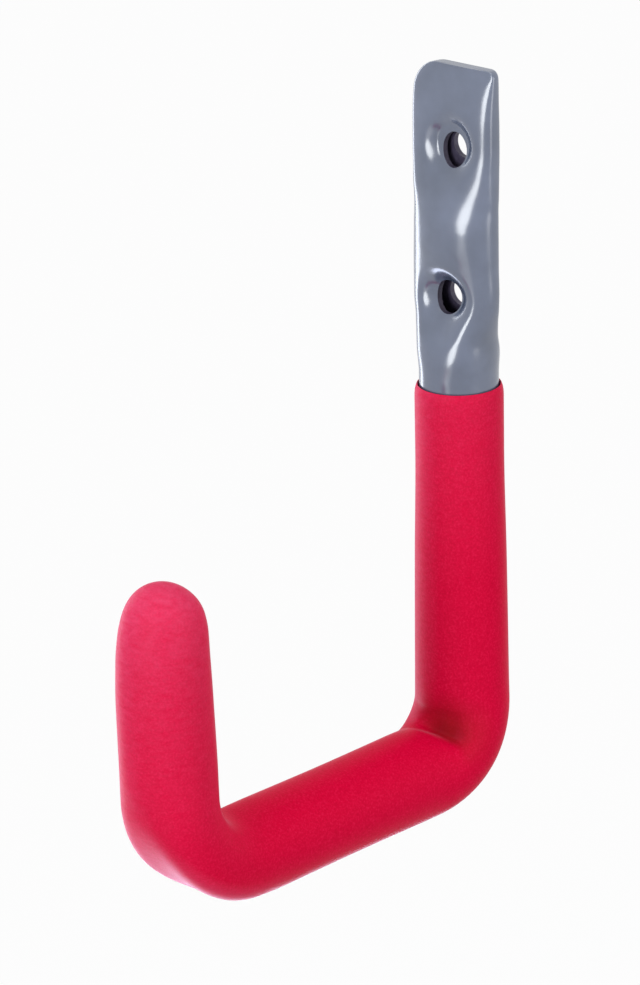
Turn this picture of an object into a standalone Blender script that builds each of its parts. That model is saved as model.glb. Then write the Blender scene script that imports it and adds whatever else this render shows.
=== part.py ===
# Rubber-coated wall hook, one bent steel tube and its dipped rubber coating.
# Metres, +Z up, front of the hook towards -Y, wall side towards +Y.
# The origin is on the flat back of the pressed end, half way between the two screw holes.
import bpy
from math import sin, cos, tan, pi, sqrt, radians, hypot

for old in list(bpy.data.objects):
    bpy.data.objects.remove(old, do_unlink=True)

# Driving dimensions, in millimetres.
tube_radius = 8.0          # outside radius of the round tube
tube_wall = 1.2            # wall thickness of the tube
piece_gap = 0.3            # clearance between tube and coating
rear_bend = 13.2           # centreline radius of the bend below the shank
front_bend = 17.6          # centreline radius of the bend below the tip
front_turn = 90.0          # degrees turned by the front bend
arm_reach = 82.6           # shank axis to tip axis
arm_to_rim = 80.8          # arm centreline to the upper edge of the coating
tip_base = 52.6            # arm centreline to the base of the dome
dome_height = 9.4          # height of the dome above its base
tube_past_dome = 1.8       # tube end above the base of the dome
rim_to_hole = 18.9         # coating edge to the lower screw hole
hole_spacing = 30.0        # lower to upper screw hole
hole_to_top = 16.1         # upper screw hole to the top edge
hole_front_radius = 3.4    # screw hole in the front wall
hole_back_radius = 3.0     # screw hole in the back wall
right_edge = 10.0          # half width of the pressed end at its top, right side
left_edge = 10.9           # the same, left side
right_waist = 9.8          # half width between the screw holes, right side
left_waist = 11.1          # the same, left side
edge_front = 0.9           # front of the closed top edge, ahead of the shank axis
edge_back = 1.1            # back of the closed top edge, behind the shank axis
upper_front = 2.9          # front of the pressed end at the upper hole
waist_front = 6.1          # front of the pressed end between the holes
lower_front = 5.0          # front of the pressed end at the lower hole
back_plane = 2.3           # flat back, behind the shank axis
upper_dimple = 3.5         # depth of the funnel pressed in at the upper hole
lower_dimple = 4.6         # depth of the funnel pressed in at the lower hole
dimple_reach = 7.6         # radius of both funnels
corner_left = 5.6          # rounding of the left top corner
corner_right = 1.5         # rounding of the right top corner
rear_dent = 1.5            # inner side of the rear bend, pressed in by the bending
front_dent = 1.4           # the same at the front bend
rear_flat = 1.2            # outer side of the rear bend, flattened by the bending
front_flat = 3.6           # the same at the front bend
rear_bulge = 0.07          # sideways spread of the rear bend
front_bulge = 0.09         # sideways spread of the front bend
fold_depth = 2.7           # fold pinched into the inner side of the rear bend
closed_length = 6.0        # length at the top where the walls meet
points_round = 40          # points round each section

# Heights above the arm centreline.
hole_low = arm_to_rim + rim_to_hole
hole_high = hole_low + hole_spacing
arm_to_top = hole_high + hole_to_top
waist = (hole_low + hole_high) / 2

# Pressed end from the round tube to the top edge:
# height, right half width, left half width, front depth, back limit.
neck = rim_to_hole / 18.9
reach_up = hole_to_top / 16.1
middle_back = (back_plane + edge_back) / 2
pressing = [
    (hole_low - 17.5 * neck, tube_radius, tube_radius, tube_radius, tube_radius + 1.5),
    (hole_low - 13.5 * neck, tube_radius + 0.12, tube_radius + 0.2, tube_radius - 0.25, back_plane + 5.4),
    (hole_low - 9.5 * neck, 0.7 * tube_radius + 0.3 * right_waist, 0.7 * tube_radius + 0.3 * left_waist,
     0.7 * tube_radius + 0.3 * lower_front, back_plane + 3.0),
    (hole_low - 5.5 * neck, 0.3 * tube_radius + 0.7 * right_waist, 0.3 * tube_radius + 0.7 * left_waist,
     lower_front + 1.2, back_plane + 1.1),
    (hole_low - 2.0 * neck, right_waist - 0.1, left_waist - 0.3, lower_front + 0.4, back_plane + 0.15),
    (hole_low + 1.5, right_waist + 0.1, left_waist, lower_front + 0.1, back_plane),
    (hole_low + 6.5, right_waist, left_waist + 0.1, lower_front + 0.5, back_plane),
    (waist - 2.5, right_waist, left_waist, waist_front, back_plane),
    (waist + 2.5, right_waist, left_waist, waist_front - 0.2, back_plane),
    (hole_high - 8.8, right_waist + 0.1, left_waist, upper_front + 2.0, back_plane),
    (hole_high - 4.8, right_edge - 0.1, left_edge, upper_front + 0.8, back_plane),
    (hole_high, right_edge, left_edge, upper_front, back_plane),
    (hole_high + 5.0 * reach_up, right_edge, left_edge, upper_front - 0.1, back_plane),
    (hole_high + 10.0 * reach_up, right_edge, left_edge - 0.1, upper_front - 0.6, middle_back),
    (arm_to_top - 3.0, right_edge, left_edge - 0.2, 0.45 * upper_front + 0.55 * edge_front, edge_back + 0.2),
    (arm_to_top, right_edge, left_edge - 0.2, edge_front, edge_back),
]

# Coating thickness over the tube, by distance along the hook from the rim.
rim_thickness = 0.95
shank_thickness = 1.35
rear_thickness = 1.70
arm_thickness = 1.40
front_thickness = 1.75
tip_thickness = 1.30
dome_thickness = 0.72


def smooth(x):
    x = min(max(x, 0.0), 1.0)
    return x * x * (3.0 - 2.0 * x)


def along(table, x, column):
    """Value of one column of a table at x, eased between its rows."""
    if x <= table[0][0]:
        return table[0][column]
    for low, high in zip(table, table[1:]):
        if x <= high[0]:
            k = (x - low[0]) / (high[0] - low[0])
            return low[column] + (high[column] - low[column]) * (0.5 * k + 0.5 * smooth(k))
    return table[-1][column]


# Centreline, as distances from the top edge.
shank_end = arm_to_top - rear_bend
rear_end = shank_end + rear_bend * pi / 2
front_tangent = front_bend * tan(radians(front_turn) / 2)
arm_end = rear_end + arm_reach - rear_bend - front_tangent
front_end = arm_end + front_bend * radians(front_turn)
lean = radians(90.0 - front_turn)
tip_start = (-arm_reach - front_tangent * sin(lean), front_tangent * cos(lean))
dome_base = front_end + (tip_base - tip_start[1]) / cos(lean)
tube_end = dome_base + tube_past_dome
rim = arm_to_top - arm_to_rim
rear_mid = (shank_end + rear_end) / 2
front_mid = (arm_end + front_end) / 2


def spine(s):
    """Point (y, z) and outer direction (y, z) of the centreline at distance s."""
    if s <= shank_end:
        return 0.0, arm_to_top - s, 1.0, 0.0
    if s <= rear_end:
        a = (s - shank_end) / rear_bend
        return rear_bend * (cos(a) - 1), rear_bend * (1 - sin(a)), cos(a), -sin(a)
    if s <= arm_end:
        return -rear_bend - (s - rear_end), 0.0, 0.0, -1.0
    if s <= front_end:
        a = (s - arm_end) / front_bend
        y = -rear_bend - (arm_end - rear_end)
        return y - front_bend * sin(a), front_bend * (1 - cos(a)), -sin(a), -cos(a)
    d = s - front_end
    return (tip_start[0] - d * sin(lean), tip_start[1] + d * cos(lean), -cos(lean), sin(lean))


def bump(x, width):
    return 0.5 + 0.5 * cos(pi * min(abs(x) / width, 1.0))


def coat_thickness(s):
    rows = [(rim, rim_thickness), (rim + 14.0, rim_thickness),
            (rim + 0.55 * (shank_end - rim), shank_thickness),
            (shank_end, rear_thickness), (rear_mid, rear_thickness + 0.1),
            (rear_end + 6.0, (rear_thickness + arm_thickness) / 2),
            ((rear_end + arm_end) / 2, arm_thickness),
            (arm_end, (arm_thickness + front_thickness) / 2),
            (front_mid, front_thickness), (front_end, (front_thickness + tip_thickness) / 2),
            (dome_base - 8.0, tip_thickness), (dome_base, dome_thickness)]
    return along(rows, s, 1)


def fold(s, t):
    """Depth of the fold, long above its crease and short below it."""
    off = s - (rear_mid + 1.0)
    return fold_depth * bump(off, 12.0 if off < 0 else 4.0) * bump(t - 1.5 * pi, 1.05)


def bent(s, t, radius):
    """Section of the round tube with its crushed bends."""
    x, v = radius * cos(t), radius * sin(t)
    inner = max(-sin(t), 0.0)
    outer = max(sin(t), 0.0)
    k = bump(s - rear_mid, 15.5)
    v += rear_dent * k * inner ** 3 - rear_flat * k * outer ** 3
    x *= 1 + rear_bulge * k
    k = bump(s - front_mid, 22.0)
    v += front_dent * k * inner ** 3 - front_flat * k * outer ** 4
    x *= 1 + front_bulge * k
    pinch = fold(s, t)
    return x - pinch * cos(t), v - pinch * sin(t)


def pressed(z, t):
    """Outside section of the pressed end at height z."""
    right, left, front, limit = (along(pressing, z, column) for column in (1, 2, 3, 4))
    full = 1.0 + 0.45 * smooth((z - waist - 3.0) / 10.0) - 0.2 * smooth((z - arm_to_top + 8.0) / 6.0)
    c, d = cos(t), sin(t)
    half = right if c >= 0 else left
    x = half * (1 if c >= 0 else -1) * abs(c) ** (1 / full)
    if d < 0:
        y = -front * abs(d) ** (1 / full)
        for high, deep in ((hole_low, lower_dimple), (hole_high, upper_dimple)):
            off = z - high
            far = hypot(x, off * (1 - (0.3 if off < 0 else 0.0) * smooth((abs(off) - 2.0) / 6.0)))
            y += deep * bump(max(far, hole_front_radius - 0.2), dimple_reach)
        trough = smooth((z - waist - 9.0) / 10.0) * (1 - smooth((z - arm_to_top + 9.5) / 8.0))
        y += 0.15 * trough * bump(x, 6.5)
    else:
        y = tube_radius * d
        ease = 2.2
        y = min(y, limit) - max(ease - abs(y - limit), 0.0) ** 2 / (4 * ease)
    # Rounded top corners.
    for side, corner in ((-1, corner_left), (1, corner_right)):
        up = z - (arm_to_top - corner)
        if up > 0 and x * side > 0:
            x *= 1 - (corner - sqrt(max(corner ** 2 - up ** 2, 0.0))) / half
    return x, y


def outside(s, count):
    z = arm_to_top - s
    ring = []
    for i in range(count):
        t = 2 * pi * i / count
        ring.append(pressed(z, t) if z > pressing[0][0] else bent(s, t, tube_radius))
    return ring


def inset(ring, depth):
    """The same section moved in by the wall thickness."""
    n = len(ring)
    out = []
    for i in range(n):
        (ax, ay), (bx, by) = ring[i - 1], ring[(i + 1) % n]
        tx, ty = bx - ax, by - ay
        size = hypot(tx, ty)
        out.append((ring[i][0] - depth * ty / size, ring[i][1] + depth * tx / size))
    return out


def place(s, ring):
    y, z, vy, vz = spine(s)
    return [(x, y + v * vy, z + v * vz) for x, v in ring]


def solid(name, rings, material):
    """Closed body from a list of rings, capped at both ends."""
    verts, faces = [], []
    count = len(rings[0])
    for ring in rings:
        verts += [(x * 0.001, (y - back_plane) * 0.001, (z - origin_height) * 0.001)
                  for x, y, z in ring]
    for r in range(len(rings) - 1):
        for i in range(count):
            j = (i + 1) % count
            a, b = r * count, (r + 1) * count
            faces.append((a + i, b + i, b + j, a + j))
    for start, flip in ((0, False), ((len(rings) - 1) * count, True)):
        ring = list(range(start, start + count))
        middle = [sum(verts[k][axis] for k in ring) / count for axis in range(3)]
        verts.append(tuple(middle))
        hub = len(verts) - 1
        for i in range(count):
            a, b = ring[i], ring[(i + 1) % count]
            faces.append((hub, b, a) if flip else (hub, a, b))
    mesh = bpy.data.meshes.new(name)
    mesh.from_pydata(verts, [], faces)
    mesh.validate()
    mesh.update()
    body = bpy.data.objects.new(name, mesh)
    bpy.context.collection.objects.link(body)
    if material:
        mesh.materials.append(material)
    return body


def spread(a, b, count):
    return [a + (b - a) * i / count for i in range(count)]


def paint(name, colour, metallic, roughness):
    material = bpy.data.materials.new(name)
    material.use_nodes = True
    shader = material.node_tree.nodes["Principled BSDF"]
    shader.inputs["Base Color"].default_value = (*colour, 1.0)
    shader.inputs["Metallic"].default_value = metallic
    shader.inputs["Roughness"].default_value = roughness
    return material


origin_height = waist
grey_paint = paint("grey_paint", (0.20, 0.23, 0.30), 0.0, 0.25)
red_rubber = paint("red_rubber", (0.68, 0.005, 0.045), 0.0, 0.6)

# Steel tube: outer skin from the top edge down to the open end, then back up inside.
top_heights = [arm_to_top - d for d in (0.0, 0.1, 0.4, 0.9, 1.7, 2.7, 3.9, 5.6, 7.6, 9.8)]
hole_offsets = [3.9 - 1.15 * i for i in range(8)]
upper_heights = [hole_high + d for d in hole_offsets] + [hole_high - d for d in (5.4, 6.9, 8.8)]
waist_heights = [waist + d for d in (4.0, 2.0, 0.0, -2.0, -4.0)]
lower_heights = [hole_low + d for d in (8.8, 6.9, 5.4)] + [hole_low + d for d in hole_offsets]
neck_heights = [hole_low - d * neck for d in (6.0, 8.0, 10.0, 12.5, 15.0, 17.5)]
strip_stations = [arm_to_top - h for h in
                  top_heights + upper_heights + waist_heights + lower_heights + neck_heights]
bend_stations = ([rim + 4.0, shank_end - 8.0] + spread(shank_end - 4.0, rear_mid - 3.0, 3)
                 + spread(rear_mid - 3.0, rear_mid + 6.0, 5) + [rear_mid + 6.0, rear_end + 4.0, arm_end - 8.0]
                 + spread(arm_end - 2.0, front_end, 9) + [front_end, front_end + 6.0])
outer_rings = [place(s, outside(s, points_round)) for s in strip_stations + bend_stations + [tube_end]]
cavity_stations = [closed_length] + strip_stations[8:len(strip_stations):2] + bend_stations
inner_rings = []
for s in cavity_stations + [tube_end]:
    ring = inset(outside(s, points_round), tube_wall)
    inner_rings.append(place(s, ring))


def tube_body():
    return solid("steel_tube", outer_rings + inner_rings[::-1], grey_paint)


def cutter(height):
    rings = []
    seam = back_plane - tube_wall - 0.1
    for y, r in ((-14.0, hole_front_radius), (seam, hole_front_radius), (seam, hole_back_radius), (9.0, hole_back_radius)):
        turns = [2 * pi * (i + 0.37) / 32 for i in range(32)]
        rings.append([(r * cos(t), y, height + r * sin(t)) for t in turns])
    return solid("cutter", rings, None)


def cut(body, tool):
    step = body.modifiers.new("cut", "BOOLEAN")
    step.operation = "DIFFERENCE"
    step.solver = "EXACT"
    step.object = tool
    graph = bpy.context.evaluated_depsgraph_get()
    made = bpy.data.meshes.new_from_object(body.evaluated_get(graph))
    body.modifiers.clear()
    body.data = made
    bpy.data.objects.remove(tool, do_unlink=True)


steel_tube = tube_body()
for height in (hole_high, hole_low):
    cut(steel_tube, cutter(height))

# Rubber coating: rounded lip, outer skin round to the dome, and the bore that holds the tube.
def coat_ring(s, extra):
    return place(s, [bent(s, 2 * pi * i / points_round, tube_radius + extra) for i in range(points_round)])


lip = [(0.30, 0.30), (0.03, 0.35), (0.0, 0.42), (0.2, 0.55), (0.7, 0.73)]
coat_rings = [coat_ring(rim + d, extra) for d, extra in lip]
coat_stations = ([rim + 2.0, rim + 14.0, rim + 26.0, rim + 40.0, shank_end - 8.0]
                 + spread(shank_end - 4.0, rear_mid - 3.0, 5) + spread(rear_mid - 3.0, rear_mid + 6.0, 7)
                 + [rear_mid + 6.0, rear_mid + 9.0, rear_end + 4.0, rear_end + 12.0,
                    (rear_end + arm_end) / 2, arm_end - 8.0]
                 + spread(arm_end - 3.0, front_end + 2.0, 11)
                 + [front_end + 2.0, front_end + 8.0, dome_base - 12.0, dome_base - 5.0, dome_base])
coat_rings += [coat_ring(s, coat_thickness(s)) for s in coat_stations]
for angle in (14, 28, 42, 55, 67, 78):
    a = radians(angle)
    wide = (tube_radius + dome_thickness) * cos(a)
    s = dome_base + dome_height * sin(a)
    coat_rings.append(place(s, [(wide * cos(2 * pi * i / points_round), wide * sin(2 * pi * i / points_round))
                                for i in range(points_round)]))
crown = dome_base + dome_height
coat_rings.append(place(crown, [(0.9 * cos(2 * pi * i / points_round), 0.9 * sin(2 * pi * i / points_round))
                                for i in range(points_round)]))
bore_stations = [rim + 2.0] + bend_stations[1:] + [tube_end + piece_gap]
bore_rings = [coat_ring(s, piece_gap) for s in bore_stations]
rubber_coating = solid("rubber_coating", bore_rings[::-1] + coat_rings, red_rubber)
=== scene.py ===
from functools import lru_cache
from math import sin, cos, pi, sqrt, radians, hypot

import bmesh
import bpy
from mathutils import Matrix, Vector


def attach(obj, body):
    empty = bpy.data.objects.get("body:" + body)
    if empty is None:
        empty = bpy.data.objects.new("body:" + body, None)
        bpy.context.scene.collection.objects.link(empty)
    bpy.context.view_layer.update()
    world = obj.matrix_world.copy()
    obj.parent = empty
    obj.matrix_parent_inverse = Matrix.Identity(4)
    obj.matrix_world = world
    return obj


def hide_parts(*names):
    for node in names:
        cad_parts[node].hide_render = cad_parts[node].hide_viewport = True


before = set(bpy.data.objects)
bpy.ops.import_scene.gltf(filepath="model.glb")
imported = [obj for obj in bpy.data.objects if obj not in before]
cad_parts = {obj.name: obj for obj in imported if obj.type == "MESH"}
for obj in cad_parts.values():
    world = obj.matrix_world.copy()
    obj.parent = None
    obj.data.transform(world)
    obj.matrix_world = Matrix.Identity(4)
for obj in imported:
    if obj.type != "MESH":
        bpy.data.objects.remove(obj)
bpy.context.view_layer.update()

millimetre = 0.001

# What a user would change on the hook as a whole. Lengths are in millimetres.
hook = {
    "tubeRadius": 8.0,
    "wall": 1.2,
    "gap": 0.3,
    "rearBend": 13.2,
    "frontBend": 17.6,
    "reach": 82.6,
    "rimHeight": 80.8,
    "holeLow": 99.7,
    "holeHigh": 129.7,
    "topHeight": 145.8,
    "tipBase": 52.6,
    "backPlane": 2.3,
    "tubePastDome": -1.2,
    "pointsRound": 160,
}
waist = (hook["holeLow"] + hook["holeHigh"]) / 2


def smooth(x):
    x = min(max(x, 0.0), 1.0)
    return x * x * (3.0 - 2.0 * x)


def bump(x, width):
    return 0.5 + 0.5 * cos(pi * min(abs(x) / width, 1.0))


def slopeAt(rows, i, column):
    # slope of the curve at one row: level at the ends and where the rows turn back
    if i == 0 or i == len(rows) - 1:
        return 0.0
    before, after = ((rows[k + 1][column] - rows[k][column]) / (rows[k + 1][0] - rows[k][0])
                     for k in (i - 1, i))
    return 2 * before * after / (before + after) if before * after > 0 else 0.0


def along(rows, x, column):
    # value of one column at x, on a smooth curve through the rows
    if x <= rows[0][0] or x >= rows[-1][0]:
        return rows[0 if x <= rows[0][0] else -1][column]
    i = 0
    while x > rows[i + 1][0]:
        i += 1
    low, high = rows[i], rows[i + 1]
    run = high[0] - low[0]
    k = (x - low[0]) / run
    level = low[column] + (high[column] - low[column]) * smooth(k)
    start, end = slopeAt(rows, i, column), slopeAt(rows, i + 1, column)
    return level + run * k * (1 - k) * ((1 - k) * start - k * end)


# Centreline of the tube, measured from the top edge downwards.
shankEnd = hook["topHeight"] - hook["rearBend"]
rearEnd = shankEnd + hook["rearBend"] * pi / 2
armEnd = rearEnd + hook["reach"] - hook["rearBend"] - hook["frontBend"]
frontEnd = armEnd + hook["frontBend"] * pi / 2
domeBase = frontEnd + hook["tipBase"] - hook["frontBend"]
rim = hook["topHeight"] - hook["rimHeight"]
rearMid = (shankEnd + rearEnd) / 2
frontMid = (armEnd + frontEnd) / 2

# The upturned tip isn't quite straight. It strays forwards, comes back and ends a little forwards.
tipCurve = {
    "lean": 0.40,
    "outFrom": 4.0,
    "outOver": 20.0,
    "backFrom": 28.5,
    "backOver": 10.5,
    "backShare": 1.2,
    "endFrom": 39.0,
    "endOver": 6.0,
}


def tipLean(run):
    # how far the tip strays at a distance from the end of the front bend
    t = tipCurve
    out = smooth((run - t["outFrom"]) / t["outOver"])
    back = t["backShare"] * smooth((run - t["backFrom"]) / t["backOver"])
    return t["lean"] * (out - back + smooth((run - t["endFrom"]) / t["endOver"]))


def spine(s):
    # place on the centreline, and the direction towards the outer side of the bends
    rear, front = hook["rearBend"], hook["frontBend"]
    if s <= shankEnd:
        return 0.0, hook["topHeight"] - s, 1.0, 0.0
    if s <= rearEnd:
        a = (s - shankEnd) / rear
        return rear * (cos(a) - 1), rear * (1 - sin(a)), cos(a), -sin(a)
    if s <= armEnd:
        return -rear - (s - rearEnd), 0.0, 0.0, -1.0
    if s <= frontEnd:
        a = (s - armEnd) / front
        return -hook["reach"] + front * (1 - sin(a)), front * (1 - cos(a)), -sin(a), -cos(a)
    return -hook["reach"] - tipLean(s - frontEnd), front + s - frontEnd, -1.0, 0.0


# What the bending did to the tube: dents inside, flats outside, sideways bulges and one crease.
bends = {
    "rearReach": 15.5,
    "rearDent": 1.5,
    "rearBulge": 0.07,
    "rearFlat": 1.2,
    "frontReach": 22.0,
    "frontDent": 1.4,
    "frontBulge": 0.09,
    "frontFlat": 3.6,
    "foldDepth": 3.1,
    "foldPlace": 0.3,
    "foldTurn": 0.29,
    "foldSteepness": 1.3,
    "foldWidth": 0.93,
    "foldTaper": 0.02,
    "foldEase": 0.68,
}

# distance along the tube from the crease, share of the depth
foldRows = [(-21.0, 0.0), (-15.0, 0.09), (-9.0, 0.27), (-4.2, 0.50), (-1.5, 0.80), (0.0, 0.95),
            (1.4, 0.78), (3.2, 0.40), (5.4, 0.12), (8.0, 0.0)]


def foldAt(s, t):
    # crease where the bending pinched the inner side of the rear bend
    b = bends
    off = s - (rearMid + b["foldPlace"])
    turn = t - 1.5 * pi - b["foldTurn"]
    turn = max(turn, -b["foldSteepness"] * turn)
    width = b["foldWidth"] + b["foldTaper"] * min(off, 0.0)
    return b["foldDepth"] * along(foldRows, off, 1) * smooth((width - turn) / b["foldEase"])


def bentSection(s, t, radius):
    b = bends
    x, v = radius * cos(t), radius * sin(t)
    inner = max(-sin(t), 0.0)
    outer = max(sin(t), 0.0)
    k = bump(s - rearMid, b["rearReach"])
    v += b["rearDent"] * k * inner ** 3 - b["rearFlat"] * k * outer ** 3
    x *= 1 + b["rearBulge"] * k
    k = bump(s - frontMid, b["frontReach"])
    v += b["frontDent"] * k * inner ** 3 - b["frontFlat"] * k * outer ** 4
    x *= 1 + b["frontBulge"] * k
    fold = foldAt(s, t)
    return x - fold * cos(t), v - fold * sin(t)


pressedEnd = {
    "rightEdge": 10.0,
    "rightWaist": 9.8,
    "leftEdge": 10.35,
    "leftWaist": 10.25,
    "edgeFront": 0.5,
    "edgeBack": 2.0,
    "upperFront": 2.9,
    "waistFront": 6.1,
    "lowerFront": 5.0,
    "backEase": 2.2,
    "troughDepth": 0.15,
    "troughReach": 6.5,
    "troughFrom": 9.0,
    "troughRise": 10.0,
    "troughEnd": 9.5,
    "troughFall": 8.0,
    "cornerLeft": 5.6,
    "cornerRight": 1.5,
    "closedLength": 6.0,
}

# Where the section gets squarer than an ellipse: height, length over which it changes, amount.
squarer = {
    "upper": (waist + 3.0, 10.0, 0.45),
    "edge": (hook["topHeight"] - 8.0, 6.0, -0.2),
    "neck": (hook["holeLow"] - 10.0, 6.5, 0.18),
    "left": (waist, 14.0, 0.9),
}

# The two screw holes, each in the middle of a funnel that the punch pressed into the front.
# The funnels trail off downwards, and the bore narrows and shifts from front wall to back wall.
holeDrop = 0.45
holes = {
    "lower": {
        "height": hook["holeLow"] - holeDrop,
        "aside": -0.37,
        "funnelRise": 0.0,
        "funnelAside": 0.03,
        "funnelDepth": 4.6,
        "funnelFloor": 3.2,
        "funnelTail": 0.3,
        "frontWidth": 3.2,
        "frontHeight": 3.45,
        "frontShift": 0.15,
        "backRadius": 2.9,
        "backShift": 0.1,
        "backRise": 0.1,
    },
    "upper": {
        "height": hook["holeHigh"] - holeDrop,
        "aside": 0.35,
        "funnelRise": 0.9,
        "funnelAside": 0.35,
        "funnelDepth": 3.5,
        "funnelFloor": 4.1,
        "funnelTail": 0.08,
        "frontWidth": 3.1,
        "frontHeight": 3.55,
        "frontShift": 0.4,
        "backRadius": 2.8,
        "backShift": 0.75,
        "backRise": 0.75,
    },
}
funnel = {
    "reach": 7.6,
    "tailFrom": 2.0,
    "tailOver": 6.0,
    "lipRoll": 0.05,
    "lipFrom": 3.2,
    "lipOver": 1.0,
}


def pressingRows():
    p, r, back = pressedEnd, hook["tubeRadius"], hook["backPlane"]
    low, high, top = hook["holeLow"], hook["holeHigh"], hook["topHeight"]
    right, left, front, upper = p["rightEdge"], p["leftEdge"], p["lowerFront"], p["upperFront"]
    rightWaist, leftWaist, full = p["rightWaist"], p["leftWaist"], p["waistFront"]
    # height, right half width, left half width, front depth, back limit
    return [
        (low - 17.5, r, r, r, r + 1.5),
        (low - 13.5, r + 0.12, r + 0.2, r - 0.25, back + 5.4),
        (low - 9.5, 8.1, 8.8, 6.95, back + 3.0),
        (low - 5.5, 8.9, 9.9, front + 1.2, back + 1.1),
        (low - 2.0, rightWaist - 0.1, leftWaist + 0.6, front + 0.4, back + 0.15),
        (low + 1.5, rightWaist + 0.1, leftWaist + 0.75, front + 0.1, back),
        (low + 6.5, rightWaist, leftWaist + 0.5, front + 0.6, back),
        (waist - 4.5, rightWaist, leftWaist + 0.15, full - 0.04, back),
        (waist - 1.5, rightWaist, leftWaist + 0.05, full, back),
        (waist + 0.7, rightWaist, leftWaist, full - 0.20, back),
        (waist + 3.0, rightWaist, leftWaist - 0.1, full - 0.75, back),
        (high - 9.3, rightWaist + 0.1, leftWaist - 0.2, upper + 1.7, back),
        (high - 4.8, right - 0.1, left - 0.3, upper + 0.6, back),
        (high, right, left, upper, back),
        (high + 5.0, right, left, upper - 0.1, back),
        (high + 10.0, right, left, upper - 0.6, (back + p["edgeBack"]) / 2),
        (top - 3.0, right, left, 0.45 * upper + 0.55 * p["edgeFront"], p["edgeBack"] + 0.2),
        (top, right, left, p["edgeFront"], p["edgeBack"]),
    ]


pressing = pressingRows()


@lru_cache(maxsize=None)
def pressedSize(z):
    return tuple(along(pressing, z, column) for column in (1, 2, 3, 4))


@lru_cache(maxsize=None)
def fullness(z, onLeft):
    # 1 for an ellipse, more where the section is squarer
    full = 1.0
    for place in ("upper", "edge"):
        height, over, amount = squarer[place]
        full += amount * smooth((z - height) / over)
    height, over, amount = squarer["neck"]
    full += amount * bump(z - height, over)
    if onLeft:
        height, over, amount = squarer["left"]
        full += amount * smooth((z - height) / over)
    return full


def funnelAt(x, z):
    # how far both funnels, and the rolled lips of their holes, set the front wall back
    back = 0.0
    for hole in (holes["lower"], holes["upper"]):
        off = z - hole["height"] - hole["funnelRise"]
        aside = x - hole["funnelAside"]
        tail = hole["funnelTail"] if off < 0 else 0.0
        trail = 1 - tail * smooth((abs(off) - funnel["tailFrom"]) / funnel["tailOver"])
        away = max(hypot(aside, off * trail), hole["funnelFloor"])
        back += hole["funnelDepth"] * bump(away, funnel["reach"])
        beyondLip = (hypot(aside, off) - funnel["lipFrom"]) / funnel["lipOver"]
        back += funnel["lipRoll"] * (1 - smooth(beyondLip))
    return back


def pressedSection(z, t):
    p, top = pressedEnd, hook["topHeight"]
    right, left, front, limit = pressedSize(z)
    c, d = cos(t), sin(t)
    half, side = (right, 1) if c >= 0 else (left, -1)
    full = fullness(z, c < 0)
    x = half * side * abs(c) ** (1 / full)
    if d < 0:
        y = -front * abs(d) ** (1 / full) + funnelAt(x, z)
        trough = smooth((z - waist - p["troughFrom"]) / p["troughRise"])
        trough *= 1 - smooth((z - top + p["troughEnd"]) / p["troughFall"])
        y += p["troughDepth"] * trough * bump(x, p["troughReach"])
    else:
        y, ease = hook["tubeRadius"] * d, p["backEase"]
        y = min(y, limit) - max(ease - abs(y - limit), 0.0) ** 2 / (4 * ease)
    for edge, corner in ((-1, p["cornerLeft"]), (1, p["cornerRight"])):
        up = z - (top - corner)
        if up > 0 and x * edge > 0:
            x *= 1 - (corner - sqrt(max(corner ** 2 - up ** 2, 0.0))) / half
    return x, y


def evenly(ring, count):
    # the same closed section with its points an even distance apart
    lengths = [0.0]
    for i in range(len(ring)):
        (ax, ay), (bx, by) = ring[i], ring[(i + 1) % len(ring)]
        lengths.append(lengths[-1] + hypot(bx - ax, by - ay))
    out, k = [], 0
    for i in range(count):
        want = lengths[-1] * i / count
        while lengths[k + 1] < want:
            k += 1
        share = (want - lengths[k]) / (lengths[k + 1] - lengths[k])
        (ax, ay), (bx, by) = ring[k], ring[(k + 1) % len(ring)]
        out.append((ax + (bx - ax) * share, ay + (by - ay) * share))
    return out


def outsideSection(s, count):
    # the tube's outside at s, made three times finer first so that evening it out stays exact
    z = hook["topHeight"] - s
    fine = count * 3
    if z > pressing[0][0]:
        ring = [pressedSection(z, 2 * pi * i / fine) for i in range(fine)]
    else:
        ring = [bentSection(s, 2 * pi * i / fine, hook["tubeRadius"]) for i in range(fine)]
    return evenly(ring, count)


def inset(ring, depth):
    # the same section moved inwards by the thickness of the wall
    out = []
    for i in range(len(ring)):
        (ax, ay), (bx, by) = ring[i - 1], ring[(i + 1) % len(ring)]
        tx, ty = bx - ax, by - ay
        size = hypot(tx, ty)
        out.append((ring[i][0] - depth * ty / size, ring[i][1] + depth * tx / size))
    return out


def place(s, ring):
    y, z, vy, vz = spine(s)
    return [(x, y + v * vy, z + v * vz) for x, v in ring]


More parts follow.
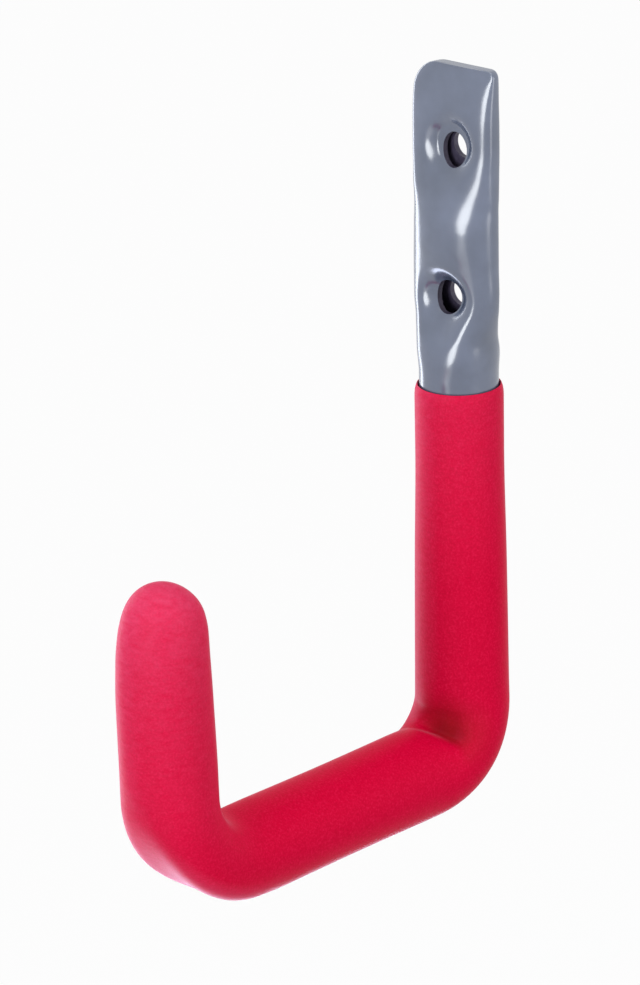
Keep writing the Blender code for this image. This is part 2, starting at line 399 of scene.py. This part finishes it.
def closedBody(name, rings, outsideRings=None):
    # skin through the rings, closed at both ends; rings after outsideRings get the second material
    verts, faces, count = [], [], len(rings[0])
    for ring in rings:
        verts += [(x * millimetre, (y - hook["backPlane"]) * millimetre,
                   (z - waist) * millimetre) for x, y, z in ring]
    for r in range(len(rings) - 1):
        for i in range(count):
            j = (i + 1) % count
            a, b = r * count, (r + 1) * count
            faces.append((a + i, b + i, b + j, a + j))
    for start, flip in ((0, False), ((len(rings) - 1) * count, True)):
        ring = list(range(start, start + count))
        verts.append(tuple(sum(verts[k][axis] for k in ring) / count for axis in range(3)))
        hub = len(verts) - 1
        for i in range(count):
            a, b = ring[i], ring[(i + 1) % count]
            faces.append((hub, b, a) if flip else (hub, a, b))
    mesh = bpy.data.meshes.new(name)
    mesh.from_pydata(verts, [], faces)
    if outsideRings is not None:
        inside = [k >= outsideRings * count for k in range(len(mesh.polygons))]
        inside[(len(rings) - 1) * count:len(rings) * count] = [False] * count
        mesh.polygons.foreach_set("material_index", inside)
    mesh.validate()
    mesh.shade_smooth()
    body = bpy.data.objects.new(name, mesh)
    bpy.context.collection.objects.link(body)
    return body


def steps(a, b, spacing):
    count = max(int(round((b - a) / spacing)), 1)
    return [a + (b - a) * i / count for i in range(count)]


# Where each stretch under the coating starts, and how far apart its rings of points are.
stretches = [(rim + 6.0, 3.0), (shankEnd - 12.0, 0.8), (rearEnd + 2.0, 6.0), (armEnd - 6.0, 1.5),
             (frontEnd, 5.0)]
lastStretch = domeBase - 6.0


def underCoat(end):
    # places along the tube that the tube and the bore of the coating share
    out = []
    stops = [start for start, spacing in stretches[1:]] + [lastStretch]
    for (start, spacing), stop in zip(stretches, stops):
        out += steps(start, stop, spacing)
    return out + [lastStretch, end]


# Steel tube with its pressed and punched end.
tubeRings = {
    "topEdge": [0.0, 0.05, 0.15, 0.3, 0.5, 0.75, 1.05, 1.4, 1.8],
    "pressedFrom": 2.2,
    "pressedSpacing": 0.45,
    "hollowSpacing": 0.9,
    "shankSpacing": 3.0,
    "sharpAngle": 38,
}
boreTool = {"points": 96, "turn": 0.37, "front": -14.0, "back": 9.0, "seam": 0.1}


def buildTube():
    t, count = tubeRings, hook["pointsRound"]
    lower = hook["topHeight"] - pressing[0][0]
    outer = t["topEdge"] + steps(t["pressedFrom"], lower, t["pressedSpacing"])
    hidden = (steps(lower, stretches[0][0], t["shankSpacing"])
              + underCoat(domeBase + hook["tubePastDome"]))
    skins = [place(s, outsideSection(s, count)) for s in outer + hidden]
    inside = steps(pressedEnd["closedLength"], lower, t["hollowSpacing"]) + hidden
    hollow = [place(s, inset(outsideSection(s, count), hook["wall"])) for s in inside]
    body = closedBody("tubeSkin", skins + hollow[::-1], len(skins) - 1)
    # the second material is near-black painted shade for the hollow and the bore walls
    looks = [paintMaterial(), insideShadeMaterial()]
    for look in looks:
        body.data.materials.append(look)
    for hole in (holes["upper"], holes["lower"]):
        punch(body, hole, looks)
    dropSpareCorners(body)
    body.data.shade_smooth()
    body.data.set_sharp_from_angle(angle=radians(t["sharpAngle"]))
    return body


def boreRing(hole, y, half, up, shift, rise):
    count = boreTool["points"]
    turns = [2 * pi * (i + boreTool["turn"]) / count for i in range(count)]
    return [(hole["aside"] + shift + half * cos(t), y, hole["height"] + rise + up * sin(t))
            for t in turns]


def punch(body, hole, looks):
    # cuts one screw hole, oval in the front wall and round in the back wall
    ahead = (hole["frontWidth"], hole["frontHeight"], hole["frontShift"], 0.0)
    behind = (hole["backRadius"], hole["backRadius"], hole["backShift"], hole["backRise"])
    seam = hook["backPlane"] - hook["wall"] - boreTool["seam"]
    tool = closedBody("boreTool", [
        boreRing(hole, boreTool["front"], *ahead), boreRing(hole, seam, *ahead),
        boreRing(hole, seam, *behind), boreRing(hole, boreTool["back"], *behind)])
    for look in looks:
        tool.data.materials.append(look)
    # the bore walls get the near-black inside material: painted shade
    tool.data.polygons.foreach_set("material_index", [1] * len(tool.data.polygons))
    cut = body.modifiers.new("bore", "BOOLEAN")
    cut.operation, cut.solver, cut.object = "DIFFERENCE", "EXACT", tool
    graph = bpy.context.evaluated_depsgraph_get()
    made = bpy.data.meshes.new_from_object(body.evaluated_get(graph))
    body.modifiers.clear()
    body.data = made
    bpy.data.objects.remove(tool, do_unlink=True)


def dropSpareCorners(body):
    # a corner between only two edges gives a folded sliver when its faces become triangles
    mesh = bmesh.new()
    mesh.from_mesh(body.data)
    spare = [corner for corner in mesh.verts if len(corner.link_edges) == 2]
    bmesh.ops.dissolve_verts(mesh, verts=spare)
    mesh.to_mesh(body.data)
    mesh.free()


# Rubber coating. Thicknesses are in millimetres.
coating = {
    "rim": 0.95,
    "shank": 1.35,
    "rear": 1.7,
    "arm": 1.4,
    "front": 1.75,
    "tip": 1.3,
    "upperShoulder": 0.78,
    "lowerShoulder": 1.03,
    "dome": 0.31,
    "domeHeight": 9.4,
    "domeFlare": 0.23,
    "flareReach": 0.3,
    "domeRings": 28,
    "lipLength": 2.7,
    "boreFrom": 2.0,
    "ringSpacing": 0.7,
    "sharpAngle": 60,
}
# distance below the upper edge, height above the tube
lipInside = [(0.0, 0.40), (0.03, 0.35), (0.12, 0.31), (0.30, 0.30)]
lipOutside = [(0.06, 0.47), (0.2, 0.55), (0.5, 0.67), (0.9, 0.79), (1.4, 0.88), (2.0, 0.93)]
# distance along the tube, thickness
coatRows = [
    (rim, coating["rim"]),
    (rim + 14.0, coating["rim"]),
    (rim + 0.55 * (shankEnd - rim), coating["shank"]),
    (shankEnd, coating["rear"]),
    (rearMid, coating["rear"] + 0.1),
    (rearEnd + 6.0, (coating["rear"] + coating["arm"]) / 2),
    ((rearEnd + armEnd) / 2, coating["arm"]),
    (armEnd, (coating["arm"] + coating["front"]) / 2),
    (frontMid, coating["front"]),
    (frontEnd, (coating["front"] + coating["tip"]) / 2),
    (domeBase - 14.0, coating["tip"]),
    (domeBase - 6.5, coating["lowerShoulder"]),
    (domeBase - 2.5, coating["upperShoulder"]),
    (domeBase, coating["dome"] + coating["domeFlare"]),
    (domeBase + 2.0, coating["dome"]),
]


def coatSection(s, count, extra):
    return [bentSection(s, 2 * pi * i / count, hook["tubeRadius"] + extra) for i in range(count)]


def buildCoat():
    c, count = coating, hook["pointsRound"]
    rings = [place(rim + below, coatSection(rim + below, count, extra))
             for below, extra in lipInside[::-1] + lipOutside]
    for s in steps(rim + c["lipLength"], domeBase, c["ringSpacing"]):
        rings.append(place(s, coatSection(s, count, along(coatRows, s, 1))))
    for k in range(c["domeRings"]):
        a = pi / 2 * k / c["domeRings"]
        flare = c["domeFlare"] * max(1 - sin(a) / c["flareReach"], 0.0) ** 2
        wide = (hook["tubeRadius"] + c["dome"] + flare) * cos(a)
        turns = [2 * pi * i / count for i in range(count)]
        rings.append(place(domeBase + c["domeHeight"] * sin(a),
                           [(wide * cos(t), wide * sin(t)) for t in turns]))
    bore = [rim + c["boreFrom"]] + underCoat(domeBase + hook["tubePastDome"] + hook["gap"])
    inner = [place(s, coatSection(s, count, hook["gap"])) for s in bore]
    body = closedBody("coatSkin", inner[::-1] + rings)
    body.data.set_sharp_from_angle(angle=radians(c["sharpAngle"]))
    return body


# Materials.
def material(name):
    made = bpy.data.materials.new(name)
    made.use_nodes = True
    tree = made.node_tree
    return made, tree, tree.nodes["Principled BSDF"]


def node(tree, kind, **values):
    made = tree.nodes.new(kind)
    for key, value in values.items():
        if key in made.inputs:
            made.inputs[key].default_value = value
        else:
            setattr(made, key, value)
    return made


def noise(tree, where, scale, detail, roughness):
    made = node(tree, "ShaderNodeTexNoise", Scale=scale, Detail=detail, Roughness=roughness)
    tree.links.new(where, made.inputs["Vector"])
    return made.outputs[0]


def ramp(tree, source, stops):
    made = tree.nodes.new("ShaderNodeValToRGB")
    tree.links.new(source, made.inputs[0])
    ends = made.color_ramp.elements
    while len(ends) < len(stops):
        ends.new(0.5)
    for end, (at, colour) in zip(ends, stops):
        end.position = at
        end.color = (*colour, 1.0)
    return made.outputs[0]


def span(tree, source, fromMin, fromMax, toMin, toMax):
    made = tree.nodes.new("ShaderNodeMapRange")
    for key, value in (("From Min", fromMin), ("From Max", fromMax),
                       ("To Min", toMin), ("To Max", toMax)):
        made.inputs[key].default_value = value
    tree.links.new(source, made.inputs["Value"])
    return made.outputs[0]


def combine(tree, operation, first, second):
    made = node(tree, "ShaderNodeMath", operation=operation)
    tree.links.new(first, made.inputs[0])
    tree.links.new(second, made.inputs[1])
    return made.outputs[0]


def relief(tree, shader, height, strength):
    made = node(tree, "ShaderNodeBump", Strength=strength, Distance=0.0002)
    tree.links.new(height, made.inputs["Height"])
    tree.links.new(made.outputs[0], shader.inputs["Normal"])


def finish(shader, **values):
    for key, value in values.items():
        shader.inputs[key.replace("_", " ")].default_value = value


paintLook = {
    "dark": (0.066, 0.084, 0.132),
    "light": (0.109, 0.133, 0.204),
    "cloudScale": 90.0,
    "peelScale": 1400.0,
    "roughness": (0.26, 0.32),
    "peel": 0.06,
    "gloss": {"Coat_Weight": 1.0, "Coat_Roughness": 0.19, "Coat_IOR": 1.9,
              "Specular_IOR_Level": 0.0},
}


def paintMaterial():
    made, tree, shader = material("greyPaint")
    where = tree.nodes.new("ShaderNodeTexCoord").outputs["Object"]
    cloud = noise(tree, where, paintLook["cloudScale"], 3.0, 0.5)
    fine = noise(tree, where, paintLook["peelScale"], 2.0, 0.6)
    colour = ramp(tree, cloud, [(0.3, paintLook["dark"]), (0.7, paintLook["light"])])
    tree.links.new(colour, shader.inputs["Base Color"])
    rough = span(tree, cloud, 0.0, 1.0, *paintLook["roughness"])
    tree.links.new(rough, shader.inputs["Roughness"])
    relief(tree, shader, fine, paintLook["peel"])
    finish(shader, **paintLook["gloss"])
    return made


# The hollow of the tube is bare steel. Its near-black, and that of the bore walls, is painted
# shade.
insideShadeLook = {
    "dark": (0.030, 0.023, 0.050),
    "light": (0.072, 0.061, 0.105),
    "scale": 500.0,
    "finish": {"Metallic": 0.2, "Roughness": 0.45},
}


def insideShadeMaterial():
    made, tree, shader = material("tubeInsideShade")
    where = tree.nodes.new("ShaderNodeTexCoord").outputs["Object"]
    patches = noise(tree, where, insideShadeLook["scale"], 3.0, 0.6)
    colour = ramp(tree, patches, [(0.3, insideShadeLook["dark"]), (0.7, insideShadeLook["light"])])
    tree.links.new(colour, shader.inputs["Base Color"])
    finish(shader, **insideShadeLook["finish"])
    return made


rubberLook = {
    "deep": (0.50, 0.000, 0.027),
    "base": (0.56, 0.000, 0.032),
    "pale": (0.63, 0.006, 0.052),
    # pale streaky dust, with painted sheen and painted light on the tip, the upper shank and faces
    # turned up, down and left
    "dustAndSheen": (0.74, 0.100, 0.225),
    # painted shade in the crease of the rear bend
    "crease": (0.26, 0.012, 0.008),
    "mottleScale": 2300.0,
    "grainScale": 3200.0,
    "streakScale": 420.0,
    "streakSquash": 2.6,
    "roughness": (0.42, 0.55),
    "grainHeight": 0.2,
    "gloss": {"Specular_IOR_Level": 0.04, "Sheen_Weight": 0.22, "Sheen_Roughness": 0.2,
              "Sheen_Tint": (0.85, 0.78, 1.0, 1.0)},
}

# How the pale dust and the painted sheen and light spread. Each row says from where to where, and
# how much it gives at both ends.
# Places are in metres, and directions go from -1 to 1.
dustAndSheenSpread = {
    "frontWards": (-0.062, -0.072, 0.0, 1.0),
    "upTheTip": (-0.112, -0.066, 0.0, 1.0),
    "facingUp": (0.0, 1.0, 0.15, 0.32),
    "facingDown": (-0.25, -0.75, 0.0, 0.30),
    "facingLeft": (0.25, -0.50, 0.02, 0.23),
    "facingAhead": (-0.20, -0.70, 0.0, 1.0),
    "upTheShank": (-0.075, -0.035, 0.0, 0.08),
    "streaks": (0.30, 0.72, 0.60, 1.40),
}
# where the painted shade of the crease sits and how far it reaches
creaseShade = {
    "shift": (-0.0028, 0.0088, 0.1068),
    "near": (0.0100, 0.0015, 0.0, 0.64),
    "behindArm": (-0.0128, -0.0108, 0.0, 1.0),
}


def dustAndSheenShare(tree, where, streaks):
    # the pale colour is partly dust and partly painted light: painted sheen on the tip and on
    # faces turned up, down and to the left, and painted light higher up the shank; streaks of dust
    # make it uneven
    at = tree.nodes.new("ShaderNodeSeparateXYZ")
    tree.links.new(where, at.inputs[0])
    facing = tree.nodes.new("ShaderNodeSeparateXYZ")
    normal = tree.nodes.new("ShaderNodeNewGeometry").outputs["Normal"]
    tree.links.new(normal, facing.inputs[0])

    def part(name, source):
        return span(tree, source, *dustAndSheenSpread[name])

    onTip = combine(tree, "MULTIPLY", part("upTheTip", at.outputs["Z"]),
                    part("facingUp", facing.outputs["Z"]))
    onTip = combine(tree, "ADD", onTip, part("facingDown", facing.outputs["Z"]))
    onTip = combine(tree, "MULTIPLY", part("frontWards", at.outputs["Y"]), onTip)
    left = combine(tree, "MULTIPLY", part("facingLeft", facing.outputs["X"]),
                   part("facingAhead", facing.outputs["Y"]))
    onShank = combine(tree, "ADD", left, part("upTheShank", at.outputs["Z"]))
    share = combine(tree, "ADD", onTip, onShank)
    return combine(tree, "MULTIPLY", share, part("streaks", streaks))


def creaseShadeShare(tree, where):
    # painted shade: the rubber in the crease of the rear bend is darker
    centre = node(tree, "ShaderNodeMapping", Location=creaseShade["shift"])
    tree.links.new(where, centre.inputs["Vector"])
    away = node(tree, "ShaderNodeVectorMath", operation="LENGTH")
    tree.links.new(centre.outputs[0], away.inputs[0])
    at = tree.nodes.new("ShaderNodeSeparateXYZ")
    tree.links.new(where, at.inputs[0])
    near = span(tree, away.outputs["Value"], *creaseShade["near"])
    return combine(tree, "MULTIPLY", near, span(tree, at.outputs["Y"], *creaseShade["behindArm"]))


def tinted(tree, share, under, tint):
    made = node(tree, "ShaderNodeMix", data_type="RGBA")
    tree.links.new(share, made.inputs[0])
    tree.links.new(under, made.inputs[6])
    made.inputs[7].default_value = (*tint, 1.0)
    return made.outputs[2]


def rubberMaterial():
    made, tree, shader = material("redRubber")
    where = tree.nodes.new("ShaderNodeTexCoord").outputs["Object"]
    mottle = noise(tree, where, rubberLook["mottleScale"], 3.0, 0.55)
    grain = noise(tree, where, rubberLook["grainScale"], 2.0, 0.6)
    squash = node(tree, "ShaderNodeMapping", Scale=(1.0, 1.0, rubberLook["streakSquash"]))
    tree.links.new(where, squash.inputs["Vector"])
    streaks = noise(tree, squash.outputs[0], rubberLook["streakScale"], 5.0, 0.7)
    colour = ramp(tree, mottle, [(0.3, rubberLook["deep"]), (0.5, rubberLook["base"]),
                                 (0.75, rubberLook["pale"])])
    # pale dust mixed with painted sheen and painted light
    colour = tinted(tree, dustAndSheenShare(tree, where, streaks), colour, rubberLook["dustAndSheen"])
    # painted shade in the crease
    colour = tinted(tree, creaseShadeShare(tree, where), colour, rubberLook["crease"])
    tree.links.new(colour, shader.inputs["Base Color"])
    rough = span(tree, grain, 0.0, 1.0, *rubberLook["roughness"])
    tree.links.new(rough, shader.inputs["Roughness"])
    relief(tree, shader, grain, rubberLook["grainHeight"])
    finish(shader, **rubberLook["gloss"])
    return made


tube = buildTube()
print("steel tube modelled:", len(tube.data.polygons), "faces")
coat = buildCoat()
coat.data.materials.append(rubberMaterial())
print("rubber coating modelled:", len(coat.data.polygons), "faces")
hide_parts("steel_tube")
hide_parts("rubber_coating")
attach(tube, "root")
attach(coat, "root")
print("materials set")

# Floor, camera and lights.
studio = {
    "floorDrop": 0.62,
    "floorHalf": 6.0,
    "floorColour": (0.58, 0.58, 0.60),
    "floorRoughness": 0.9,
    "floorShown": 0.96,
    "worldSeen": 0.975,
    "worldLight": 0.6,
    "target": (0.0, -0.0423, -0.0463),
    "azimuth": 44.98,
    "elevation": 20.07,
    "roll": -1.32,
    "distance": 0.771,
    "lens": 145.1,
    "sensor": 36.0,
    "clipStart": 0.01,
}

# place, aim, width, height, watts, colour
lamps = {
    "frontStrip": ((0.07, -0.80, 0.095), (0, 0, 0), 0.34, 0.60, 3.6, (0.95, 0.98, 1.0)),
    "lowStrip": ((0.07, -0.80, -0.38), (0, 0, 0), 0.32, 0.42, 0.3, (1.0, 1.0, 1.0)),
    "leftStrip": ((-0.82, 0.015, -0.05), (0, -0.02, -0.02), 0.23, 1.3, 3.4, (0.86, 0.91, 1.0)),
    "topSoft": ((0.05, -0.10, 0.90), (0, -0.03, -0.04), 0.8, 0.8, 3.0, (1.0, 1.0, 1.0)),
    "rightSoft": ((0.95, 0.10, 0.15), (0, -0.04, -0.05), 0.9, 0.9, 4.4, (1.0, 1.0, 1.0)),
    "floorGlow": ((-0.54, 0.23, -0.58), (-0.54, 0.23, 0.0), 0.7, 0.7, 6.6, (0.70, 0.77, 1.0)),
}


def shownWhite(tree, strength):
    # how much of the plain white the camera, reflections and anything seen through take
    paths = tree.nodes.new("ShaderNodeLightPath")
    rays = combine(tree, "MAXIMUM", paths.outputs["Is Camera Ray"], paths.outputs["Is Glossy Ray"])
    rays = combine(tree, "MAXIMUM", rays, paths.outputs["Is Transmission Ray"])
    return span(tree, rays, 0.0, 1.0, 0.0, strength)


def mixedShader(tree, share, first, second, output):
    pick = tree.nodes.new("ShaderNodeMixShader")
    tree.links.new(share, pick.inputs[0])
    tree.links.new(first.outputs[0], pick.inputs[1])
    tree.links.new(second.outputs[0], pick.inputs[2])
    tree.links.new(pick.outputs[0], output.inputs[0])


def buildFloor():
    size = studio["floorHalf"]
    mesh = bpy.data.meshes.new("floor")
    mesh.from_pydata([(-size, -size, 0), (size, -size, 0), (size, size, 0), (-size, size, 0)], [],
                     [(0, 1, 2, 3)])
    floor = bpy.data.objects.new("floor", mesh)
    floor.location = (0, 0, -studio["floorDrop"])
    bpy.context.collection.objects.link(floor)
    made, tree, shader = material("floorPaper")
    shader.inputs["Base Color"].default_value = (*studio["floorColour"], 1.0)
    shader.inputs["Roughness"].default_value = studio["floorRoughness"]
    white = node(tree, "ShaderNodeEmission", Strength=1.0, Color=(1, 1, 1, 1))
    mixedShader(tree, shownWhite(tree, studio["floorShown"]), shader, white,
                tree.nodes["Material Output"])
    mesh.materials.append(made)


def buildCamera():
    a, e, roll = (radians(studio[key]) for key in ("azimuth", "elevation", "roll"))
    back = Vector((sin(a) * cos(e), -cos(a) * cos(e), sin(e)))
    right = Vector((cos(a), sin(a), 0.0))
    up = back.cross(right)
    across = right * cos(roll) + up * sin(roll)
    above = up * cos(roll) - right * sin(roll)
    camera = bpy.data.cameras.new("photoView")
    camera.lens = studio["lens"]
    camera.sensor_width = studio["sensor"]
    camera.clip_start = studio["clipStart"]
    view = bpy.data.objects.new("photoView", camera)
    turn = Matrix((across, above, back)).transposed().to_4x4()
    eye = Vector(studio["target"]) + back * studio["distance"]
    view.matrix_world = Matrix.Translation(eye) @ turn
    bpy.context.collection.objects.link(view)
    bpy.context.scene.camera = view


def buildLamp(name, where, aim, width, height, watts, colour):
    light = bpy.data.lights.new(name, "AREA")
    light.shape = "ELLIPSE"
    light.size, light.size_y = width, height
    light.energy = watts
    light.color = colour
    piece = bpy.data.objects.new(name, light)
    piece.location = where
    piece.rotation_euler = (Vector(aim) - Vector(where)).to_track_quat("-Z", "Y").to_euler()
    bpy.context.collection.objects.link(piece)


def buildWorld():
    world = bpy.data.worlds.new("studioWorld")
    bpy.context.scene.world = world
    world.use_nodes = True
    tree = world.node_tree
    tree.nodes.clear()
    seen = node(tree, "ShaderNodeBackground", Strength=studio["worldSeen"], Color=(1, 1, 1, 1))
    soft = node(tree, "ShaderNodeBackground", Strength=studio["worldLight"], Color=(1, 1, 1, 1))
    mixedShader(tree, shownWhite(tree, 1.0), soft, seen, tree.nodes.new("ShaderNodeOutputWorld"))


buildFloor()
buildCamera()
buildWorld()
for name, values in lamps.items():
    buildLamp(name, *values)
bpy.context.scene.view_settings.view_transform = "Standard"
print("studio set")
